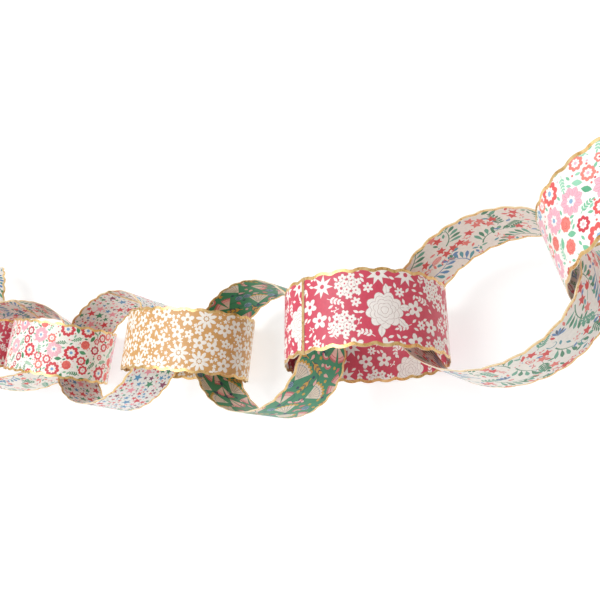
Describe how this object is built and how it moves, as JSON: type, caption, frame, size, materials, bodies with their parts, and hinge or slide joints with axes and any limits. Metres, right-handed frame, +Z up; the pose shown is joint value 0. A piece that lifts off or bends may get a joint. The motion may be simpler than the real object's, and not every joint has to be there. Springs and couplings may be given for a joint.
{
  "type": "paper chain garland",
  "caption": "Party garland of printed paper strips with scalloped gold edges, each bent into a loop through the one before it and glued closed.",
  "frame": {"origin": "middle of the bounding box, on the table it lies on", "axes": "+X along the chain, +Y across it, +Z up from the table"},
  "size_m": [0.5103, 0.1113, 0.073],
  "materials": {
    "link_01": "matte",
    "link_02": "matte",
    "link_03": "matte",
    "link_04": "matte",
    "link_05": "matte",
    "link_06": "matte",
    "link_07": "matte",
    "link_08": "matte",
    "link_09": "matte",
    "link_10": "matte"
  },
  "bodies": {
    "root": {"link_01": "link_01", "link_02": "link_02", "link_03": "link_03", "link_04": "link_04", "link_05": "link_05", "link_06": "link_06", "link_07": "link_07", "link_08": "link_08", "link_09": "link_09", "link_10": "link_10"}
  },
  "joints": []
}
